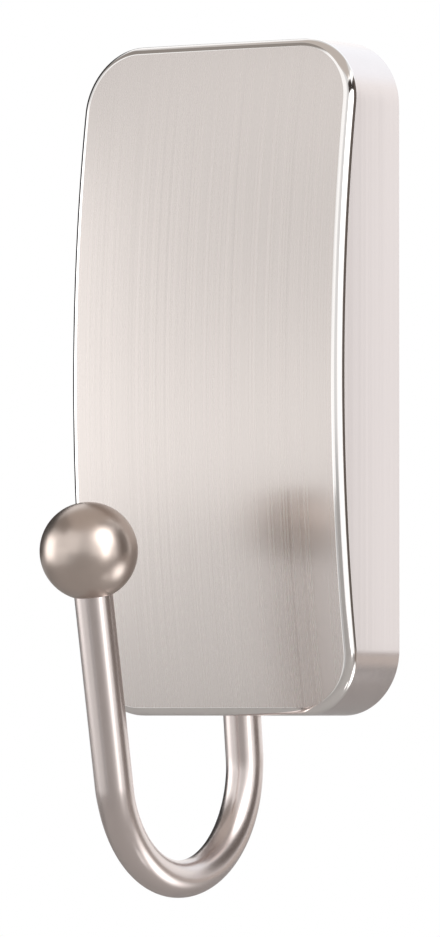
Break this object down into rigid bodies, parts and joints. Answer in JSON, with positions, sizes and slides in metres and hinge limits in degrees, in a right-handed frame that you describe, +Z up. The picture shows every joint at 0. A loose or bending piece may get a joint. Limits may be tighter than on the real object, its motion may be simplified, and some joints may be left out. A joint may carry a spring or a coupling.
{
  "type": "adhesive wall hook",
  "caption": "Tall bowed metal cover that hangs on an adhesive-backed wall base and carries a bent rod hook with a ball tip; it lifts off upwards.",
  "frame": {"origin": "centre of the adhesive strip's bonded area, on the wall", "axes": "+Z up, +Y into the wall, +X to the right as seen from the room; the hook stands out towards -Y"},
  "size_m": [0.041, 0.0441, 0.1065],
  "materials": {
    "cover_metal": "vertical brushing on the front, polished edge, satin sides",
    "rod_metal": "satin polished",
    "ball_metal": "satin polished",
    "fixing_steel": "zinc plated",
    "carrier_plastic": "fine moulded texture",
    "base_plastic": "fine moulded texture",
    "strip_foam": "closed-cell foam",
    "strip_adhesive": "tacky film",
    "tab_film": "smooth film"
  },
  "bodies": {
    "wall_base": {"wall_adhesive": "strip_adhesive", "foam_core": "strip_foam", "base_adhesive": "strip_adhesive", "tab_film_front": "tab_film", "tab_film_back": "tab_film", "mounting_base": "base_plastic"},
    "hook_body": {"face_cover": "cover_metal", "slide_carrier": "carrier_plastic", "carrier_screws": "fixing_steel", "rod_pin": "fixing_steel", "hook_rod": "rod_metal", "ball_knob": "ball_metal"}
  },
  "joints": [
    {"name": "lift_off", "type": "slide", "parent": "wall_base", "child": "hook_body", "axis": [0, 0, 1], "range_m": [0, 0.011]}
  ]
}
